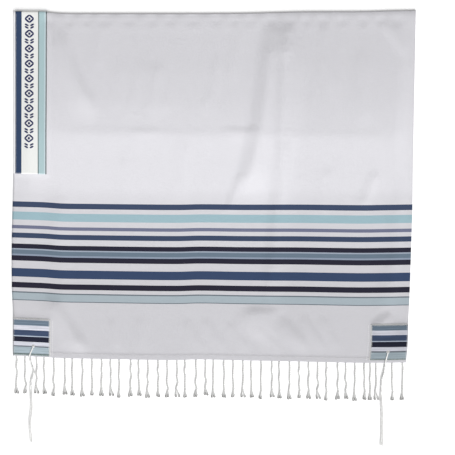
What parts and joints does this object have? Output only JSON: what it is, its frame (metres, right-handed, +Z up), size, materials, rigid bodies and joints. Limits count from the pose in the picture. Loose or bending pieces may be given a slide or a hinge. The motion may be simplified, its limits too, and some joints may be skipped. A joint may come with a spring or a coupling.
{
  "type": "folded prayer shawl",
  "caption": "White woven prayer shawl with dark blue and grey woven stripes, folded once and laid flat, with an embroidered neckband, corner patches, a knotted fringe and corner tassels",
  "frame": {"origin": "centre of the bounding box's underside, on the surface that the shawl lies on", "axes": "+Z up from that surface; +Y runs from the fringe to the fold; +X runs from the side with the neckband to the other side"},
  "size_m": [1.1144, 1.2028, 0.0162],
  "materials": {
    "white_wool": "plain woven wool, white with woven navy, black, steel blue and pale teal stripes, matte",
    "band_cloth": "satin woven band, white with navy and pale teal borders and navy embroidery",
    "patch_cloth": "the same striped cloth, cut square and edge stitched, matte",
    "white_cotton": "plied and knotted white thread, matte"
  },
  "bodies": {
    "root": {"shawl_cloth": "white_wool", "neckband": "band_cloth", "corner_patch_upper_left": "patch_cloth", "corner_patch_upper_right": "patch_cloth", "corner_patch_lower_left": "patch_cloth", "corner_patch_lower_right": "patch_cloth", "fringe_upper": "white_wool", "fringe_lower": "white_wool", "tassel_upper_left": "white_cotton", "tassel_upper_right": "white_cotton", "tassel_lower_left": "white_cotton", "tassel_lower_right": "white_cotton"}
  },
  "joints": []
}
